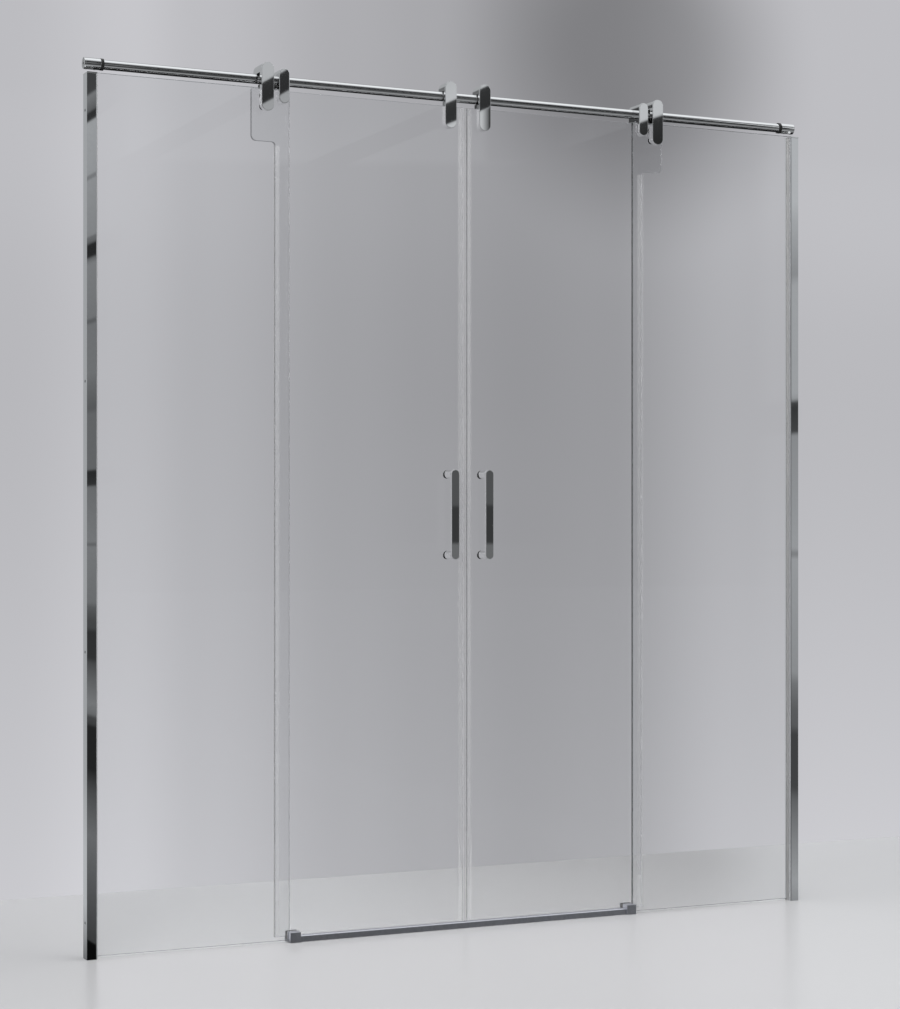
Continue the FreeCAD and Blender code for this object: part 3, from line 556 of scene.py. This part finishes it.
def grainedMetal(name, own):
    look = grainedShared | own
    material, tree = newMaterial(name)
    place = objectPlace(tree)
    inputs = {"Vector": stretched(tree, place, look["grainScale"]), "Contrast": look["contrast"]}
    grain = addEffect(tree, "grain", inputs)
    inputs = {"Vector": place, "Scale": look["smearScale"], "Cover": look["smears"]}
    smear = addEffect(tree, "handMarks", inputs)["Mask"]
    dust = addEffect(tree, "dust", {"Vector": place, "Amount": look["dust"]})["Mask"]
    worn = times(tree, addEffect(tree, "edgeWear", {"Vector": place})["Mask"], look["worn"])
    grey, tint, swing = look["grey"], look["tint"], look["swing"]
    tone = mixColour(tree, grain["Tone"], shown(grey - swing, tint), shown(grey + swing, tint))
    tone = mixColour(tree, worn, tone, shown(min(grey + look["wornLighter"], look["lightest"]), tint))
    tone = mixColour(tree, dust, tone, shown(look["dustGrey"], dustTint))
    plain, swing = look["roughness"], look["roughSwing"]
    rough = remap(tree, grain["Tone"], *look["grainRange"], plain - swing, plain + swing)
    rough = plus(tree, rough, times(tree, smear, look["smearRoughness"]))
    rough = plus(tree, rough, times(tree, dust, look["dustRoughness"]), clamp=True)
    bump = bumpFrom(tree, grain["Height"], look)
    finishSurface(tree, {"Base Color": tone, "Metallic": 1.0, "Roughness": rough, "Normal": bump})
    return material


# toughened pane: clean faces, and ground edges wherever the face doesn't look to the front or back
paneShared = {"face": (0.918, 0.922, 0.924, 1), "marked": (0.91, 0.915, 0.915, 1), "ior": 1.5,
              "specularTint": (0.4, 0.4, 0.4, 1), "faceFrom": (0.9, 0.97), "markRoughness": 0.12,
              "touchScale": 7.0, "touchRoughness": 0.015, "groundScale": (900, 900, 60),
              "bump": 0.15, "bumpDepth": 0.00003}


def paneGlass(name, own):
    look = paneShared | own
    material, tree = newMaterial(name)
    place = objectPlace(tree)
    depth = axisValues(tree, addNode(tree, "ShaderNodeNewGeometry").outputs["True Normal"])[1]
    isEdge = remap(tree, doMath(tree, "ABSOLUTE", depth), *look["faceFrom"], 1.0, 0.0)
    marks = addEffect(tree, "waterMarks", {"Vector": place, "Cover": look["marks"]})["Mask"]
    inputs = {"Vector": place, "Scale": look["touchScale"], "Cover": look["touch"]}
    touch = addEffect(tree, "handMarks", inputs)["Mask"]
    ground = noise(tree, stretched(tree, place, look["groundScale"]), 1.0, 2.0)
    face = mixColour(tree, marks, look["face"], look["marked"])
    edge = mixColour(tree, ground, look["edgeLow"], look["edgeHigh"])
    rough = times(tree, marks, look["markRoughness"])
    rough = plus(tree, rough, times(tree, touch, look["touchRoughness"]))
    rough = plus(tree, times(tree, isEdge, look["edgeRoughness"]), rough, clamp=True)
    finishSurface(tree, {
        "Base Color": mixColour(tree, isEdge, face, edge), "Roughness": rough, "IOR": look["ior"],
        "Transmission Weight": 1.0, "Alpha": remap(tree, isEdge, 0.0, 1.0, 1.0, look["edgeCover"]),
        "Specular Tint": look["specularTint"], "Normal": bumpFrom(tree, times(tree, ground, isEdge), look),
    })
    return material


# extruded clear plastic with faint lines along its length, clearest where it faces the viewer
stripShared = {"grainScale": (2500, 2500, 12), "contrast": 0.8, "dust": 0.4, "dustGrey": 190, "ior": 1.5,
               "dustRoughness": 0.3, "darker": 10, "lighter": 8, "patchScale": 9.0, "smoother": 0.02,
               "rougher": 0.04, "facingBlend": 0.4, "facing": (0.2, 0.9), "coverSwing": 0.03,
               "bump": 0.06, "bumpDepth": 0.00003}


def clearStrip(name, own):
    look = stripShared | own
    material, tree = newMaterial(name)
    place = objectPlace(tree)
    inputs = {"Vector": stretched(tree, place, look["grainScale"]), "Contrast": look["contrast"]}
    drawn = addEffect(tree, "grain", inputs)
    dust = addEffect(tree, "dust", {"Vector": place, "Amount": look["dust"]})["Mask"]
    turned = addNode(tree, "ShaderNodeLayerWeight", {"Blend": look["facingBlend"]}).outputs["Facing"]
    grey, plain, swing = look["grey"], look["roughness"], look["coverSwing"]
    tone = mixColour(tree, drawn["Tone"], shown(grey - look["darker"]), shown(grey + look["lighter"]))
    tone = mixColour(tree, dust, tone, shown(look["dustGrey"]))
    patches = noise(tree, place, look["patchScale"], 3.0)
    rough = remap(tree, patches, *noiseRange, plain - look["smoother"], plain + look["rougher"])
    rough = plus(tree, rough, times(tree, dust, look["dustRoughness"]))
    cover = remap(tree, turned, *look["facing"], look["coverFacing"], look["coverTurned"])
    cover = plus(tree, cover, remap(tree, drawn["Tone"], *noiseRange, -swing, swing), clamp=True)
    bump = bumpFrom(tree, drawn["Height"], look)
    finishSurface(tree, {"Base Color": tone, "Roughness": rough, "IOR": look["ior"], "Alpha": cover,
                         "Normal": bump})
    return material


# moulded nylon or rubber with a fine grain
mouldedShared = {"cloudScale": 40.0, "wearStart": 0.52, "worn": 0.4, "wornLighter": 30, "dustGrey": 150,
                 "smoother": 0.06, "rougher": 0.08, "ior": 1.5, "bumpDepth": 0.00005}


def moulded(name, own):
    look = mouldedShared | own
    material, tree = newMaterial(name)
    place = objectPlace(tree)
    grain = noise(tree, place, look["grainScale"], 3.0)
    cloud = noise(tree, place, look["cloudScale"], 2.0)
    dust = addEffect(tree, "dust", {"Vector": place, "Amount": look["dust"]})["Mask"]
    worn = addEffect(tree, "edgeWear", {"Vector": place, "Start": look["wearStart"]})["Mask"]
    worn = times(tree, worn, look["worn"])
    grey, swing, plain = look["grey"], look["swing"], look["roughness"]
    tone = mixColour(tree, cloud, shown(grey - swing), shown(grey + swing))
    tone = mixColour(tree, worn, tone, shown(grey + look["wornLighter"]))
    tone = mixColour(tree, dust, tone, shown(look["dustGrey"]))
    rough = remap(tree, grain, *noiseRange, plain - look["smoother"], plain + look["rougher"])
    bump = bumpFrom(tree, grain, look)
    finishSurface(tree, {"Base Color": tone, "Roughness": rough, "IOR": look["ior"], "Normal": bump})
    return material


finishLooks = {
    "chrome": {"maker": polishedMetal, "grey": 234, "roughness": 0.012, "smears": 0.2, "smearScale": 22.0,
               "smearRoughness": 0.03, "lines": 0.1, "dust": 0.2},
    "rail": {"maker": polishedMetal, "grey": 234, "roughness": 0.05, "smears": 0.3, "smearScale": 12.0,
             "smearRoughness": 0.04, "lines": 0.0, "dust": 0.04},
    "bright_profile": {"maker": polishedMetal, "grey": 232, "tint": (0.99, 1.0, 1.01), "roughness": 0.012,
                       "smears": 0.15, "smearScale": 9.0, "smearRoughness": 0.025, "lines": 0.05,
                       "dust": 0.25},
    "steel": {"maker": grainedMetal, "grey": 190, "swing": 16, "contrast": 1.0, "roughness": 0.24,
              "bump": 0.2, "dust": 0.15, "grainScale": (1400, 60, 1400)},
    "satin": {"maker": grainedMetal, "grey": 224, "tint": (0.97, 0.98, 1.05), "swing": 9, "contrast": 0.9,
              "roughness": 0.36, "bump": 0.18, "dust": 0.2, "grainScale": (25, 1800, 1800)},
    "clear_glass": {"maker": paneGlass, "edgeLow": (0.42, 0.46, 0.47, 1), "edgeHigh": (0.68, 0.72, 0.73, 1),
                    "edgeRoughness": 0.16, "edgeCover": 0.55, "marks": 0.25, "touch": 0.3},
    "fixed_glass": {"maker": paneGlass, "edgeLow": (0.16, 0.19, 0.19, 1), "edgeHigh": (0.4, 0.44, 0.44, 1),
                    "edgeRoughness": 0.2, "edgeCover": 0.85, "marks": 0.3, "touch": 0.2},
    "clear_pvc": {"maker": clearStrip, "grey": 206, "roughness": 0.12, "coverFacing": 0.05,
                  "coverTurned": 0.26},
    "gasket": {"maker": clearStrip, "grey": 196, "roughness": 0.35, "coverFacing": 0.5,
               "coverTurned": 0.75},
    "grey_nylon": {"maker": moulded, "grey": 118, "swing": 5, "roughness": 0.45, "grainScale": 1500.0,
                   "bump": 0.25, "dust": 0.2},
    "black_nylon": {"maker": moulded, "grey": 34, "swing": 4, "roughness": 0.42, "grainScale": 1500.0,
                    "bump": 0.25, "dust": 0.15},
    "black_rubber": {"maker": moulded, "grey": 26, "swing": 3, "roughness": 0.7, "grainScale": 2400.0,
                     "bump": 0.4, "dust": 0.3},
}
finishes = {}
for name, look in finishLooks.items():
    finishes[name] = look["maker"](name.replace("_", " ").title().replace(" ", "") + "Finish", look)

# nodes whose finish isn't the one that their slot names
ownFinish = {
    "fixed_glass_left": "fixed_glass", "fixed_glass_right": "fixed_glass", "glazing_gaskets": "gasket",
    "threshold_bar": "satin", "guide_block_left": "satin", "guide_block_right": "satin",
    "glass_bushes_left": "black_nylon", "glass_bushes_right": "black_nylon",
}
slotNames = {name: node.material_slots[0].material.name.split(".")[0] for name, node in nodes.items()}
for name, node in nodes.items():
    for slot in node.material_slots:
        slot.material = finishes[ownFinish.get(name, slotNames[name])]
    if slotNames[name] in ("clear_glass", "clear_pvc"):
        node.visible_shadow = False
print("finishes ready:", len(finishes))


# a modelled piece: closed, pointing outwards, on its body, in place of the solids it details
def addPiece(name, bm, cadNode, finish=None, sharp=32):
    bmesh.ops.remove_doubles(bm, verts=bm.verts, dist=0.000002)
    bmesh.ops.recalc_face_normals(bm, faces=bm.faces)
    mesh = bpy.data.meshes.new(name)
    bm.to_mesh(mesh)
    bm.free()
    mesh.polygons.foreach_set("use_smooth", [True] * len(mesh.polygons))
    mesh.set_sharp_from_angle(angle=math.radians(sharp))
    piece = bpy.data.objects.new(name, mesh)
    scene.collection.objects.link(piece)
    weighted = piece.modifiers.new("weightedNormal", "WEIGHTED_NORMAL")
    weighted.keep_sharp = True
    weighted.weight = 100  # flat faces keep their own normal, so mirror images stay straight
    slotName = slotNames[cadNode]
    mesh.materials.append(finishes[finish or ownFinish.get(cadNode, slotName)])
    piece.visible_shadow = nodes[cadNode].visible_shadow
    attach(piece, nodes[cadNode]["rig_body"])
    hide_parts(cadNode)


# a shape turned on a lathe: a closed outline of (distance along the axis, radius)
def turnedShape(bm, outline, centre, axis, steps):
    side = axis.orthogonal().normalized()
    verts = [bm.verts.new(centre + axis * along + side * radius) for along, radius in outline]
    edges = [bm.edges.new((verts[index - 1], verts[index])) for index in range(len(verts))]
    bmesh.ops.spin(bm, geom=verts + edges, cent=centre, axis=axis, dvec=(0, 0, 0), angle=2 * math.pi,
                   steps=steps, use_merge=True, use_normal_flip=False, use_duplicate=False)


# an upright plate with fully round ends and rounded front and back edges
def capsulePlate(bm, low, high, look):
    half = (high[0] - low[0]) / 2
    stretch = (high[2] - low[2]) / 2 - half
    centre = Vector(((low[0] + high[0]) / 2, low[1], (low[2] + high[2]) / 2))
    count = look["rimSides"]
    upright = Matrix.Rotation(math.radians(90), 4, "X") @ Matrix.Rotation(math.pi / count, 4, "Z")
    rim = bmesh.ops.create_circle(bm, cap_ends=True, segments=count, radius=half, matrix=upright)["verts"]
    for vert in rim:
        vert.co.z += math.copysign(stretch, vert.co.z)
    bmesh.ops.translate(bm, vec=centre, verts=rim)
    grown = bmesh.ops.extrude_face_region(bm, geom=[rim[0].link_faces[0]])["geom"]
    far = [item for item in grown if isinstance(item, bmesh.types.BMVert)]
    bmesh.ops.translate(bm, vec=(0, high[1] - low[1], 0), verts=far)
    front, back = [{edge for vert in ring for edge in vert.link_edges if edge.other_vert(vert) in ring}
                   for ring in (rim, far)]
    for edges, which in ((front, "front"), (back, "back")):
        bmesh.ops.bevel(bm, geom=list(edges), offset=look[which], offset_type="OFFSET",
                        segments=look[which + "Steps"], profile=0.5, affect="EDGES", material=-1)


# how far each kind of edge is softened, and from how many degrees it counts as an edge
softening = {
    "carriage": {"size": 0.0004, "least": 28}, "bar": {"size": 0.0004, "least": 28},
    "profile": {"size": 0.0002, "least": 50}, "disc": {"size": 0.0003, "least": 28},
}


# a CAD solid's own shape, with its flat faces made whole and its edges softened
def softenedCopy(cadNode, kind):
    bm = bmesh.new()
    bm.from_mesh(nodes[cadNode].data)
    bmesh.ops.remove_doubles(bm, verts=bm.verts, dist=0.000005)
    bmesh.ops.dissolve_limit(bm, angle_limit=math.radians(0.6), verts=bm.verts, edges=bm.edges,
                             use_dissolve_boundaries=False, delimit=set())
    size, least = softening[kind]["size"], math.radians(softening[kind]["least"])
    crease = [edge for edge in bm.edges if len(edge.link_faces) == 2 and edge.calc_face_angle(0) > least]
    bmesh.ops.bevel(bm, geom=crease, offset=size, offset_type="OFFSET", segments=2, profile=0.5,
                    affect="EDGES", clamp_overlap=True, material=-1)
    addPiece(cadNode + "_finished", bm, cadNode)


sides = {"left": -1, "right": 1}

railLook = {"wall": 0.002, "chamfer": 0.0006, "steps": 160}
low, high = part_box("rail_tube")
railCentre = Vector((0, (low[1] + high[1]) / 2, (low[2] + high[2]) / 2))
radius, reach = (high[2] - low[2]) / 2, high[0]
bore, cut = radius - railLook["wall"], railLook["chamfer"]
bm = bmesh.new()
outline = [(-reach, bore + cut), (-reach, radius - cut), (-reach + cut, radius), (reach - cut, radius),
           (reach, radius - cut), (reach, bore + cut), (reach - cut, bore), (-reach + cut, bore)]
turnedShape(bm, outline, railCentre, Vector((1, 0, 0)), railLook["steps"])
addPiece("railTube", bm, "rail_tube", "rail", sharp=25)

# sleeve with a rolled mouth and a shallow groove at the wall
sleeveLook = {"length": 0.038, "bore": 0.01115, "roll": 0.0012, "rollShare": 0.3, "groove": 0.0005,
              "grooveAt": 0.0035, "edge": 0.0003, "steps": 128}
low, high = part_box("rail_sockets")
outer, wall = (high[1] - low[1]) / 2, high[0]
mouth, at = wall - sleeveLook["length"], wall - sleeveLook["grooveAt"]
bore, roll, groove, edge = [sleeveLook[key] for key in ("bore", "roll", "groove", "edge")]
inset = roll * sleeveLook["rollShare"]
outline = [(mouth, bore), (mouth, outer - roll), (mouth + inset, outer - inset), (mouth + roll, outer),
           (at - groove, outer), (at, outer - groove), (at + groove, outer), (wall - edge, outer),
           (wall, outer - edge), (wall, bore)]
bm = bmesh.new()
for sign in sides.values():
    turnedShape(bm, outline, railCentre, Vector((sign, 0, 0)), sleeveLook["steps"])
addPiece("railSleeves", bm, "rail_sockets", "rail", sharp=40)
print("rail and sleeves ready")

# reach is a carriage's distance from the middle of the enclosure
coverLook = {"width": 0.03, "height": 0.111, "rimSides": 72, "front": 0.001, "frontSteps": 5,
             "back": 0.0003, "backSteps": 2}
carriages = {"outer": {"reach": 0.51275, "overHood": 0.0025}, "centre": {"reach": 0.045, "frontAt": -0.007}}
for side, sign in sides.items():
    bm = bmesh.new()
    low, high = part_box("carriage_covers_" + side)
    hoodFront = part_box("outer_carriage_body_" + side)[0][1]
    depths = {"outer": (low[1], hoodFront + carriages["outer"]["overHood"]),
              "centre": (carriages["centre"]["frontAt"], high[1])}
    for which, (front, back) in depths.items():
        middle, half = sign * carriages[which]["reach"], coverLook["width"] / 2
        foot = high[2] - coverLook["height"]
        capsulePlate(bm, (middle - half, front, foot), (middle + half, back, high[2]), coverLook)
    addPiece("carriageCovers_" + side, bm, "carriage_covers_" + side, sharp=40)
    for which in carriages:
        softenedCopy(which + "_carriage_body_" + side, "carriage")
    softenedCopy("fixed_clamp_" + side, "carriage")

# flat bar on two round posts, each post with a collar cut into both ends
handleLook = {"rimSides": 72, "front": 0.0008, "frontSteps": 4, "back": 0.0004, "backSteps": 2,
              "collar": 0.0012, "neck": 0.0004, "lipShare": 0.6, "postSteps": 64}
for side in sides:
    low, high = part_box("handle_bar_" + side)
    bm = bmesh.new()
    capsulePlate(bm, low, high, handleLook)
    addPiece("handleBar_" + side, bm, "handle_bar_" + side, sharp=40)
    low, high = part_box("handle_posts_" + side)
    radius, start, end = (high[0] - low[0]) / 2, low[1], high[1]
    collar, neck = handleLook["collar"], handleLook["neck"]
    thin, lip = radius - neck, end - collar * handleLook["lipShare"]
    outline = [(start, 0), (start, thin), (start + collar, thin), (start + collar + neck, radius),
               (end - collar - neck, radius), (end - collar, thin), (lip, thin), (lip + neck, radius),
               (end - neck / 2, radius), (end, radius - neck / 2), (end, 0)]
    bm = bmesh.new()
    for height in (low[2] + radius, high[2] - radius):
        centre = Vector(((low[0] + high[0]) / 2, 0, height))
        turnedShape(bm, outline, centre, Vector((0, 1, 0)), handleLook["postSteps"])
    addPiece("handlePosts_" + side, bm, "handle_posts_" + side, sharp=40)
print("carriages, clamps and handles ready")

for name in ("threshold_bar", "guide_block_left", "guide_block_right"):
    softenedCopy(name, "bar")
for name in ("profile_caps", "wall_profile_left", "wall_profile_right"):
    softenedCopy(name, "profile")
softenedCopy("clamp_discs", "disc")
for start in ("carriage_discs_", "handle_screws_"):
    for side in sides:
        softenedCopy(start + side, "disc")
print("profiles, bar, guides and fixings ready")
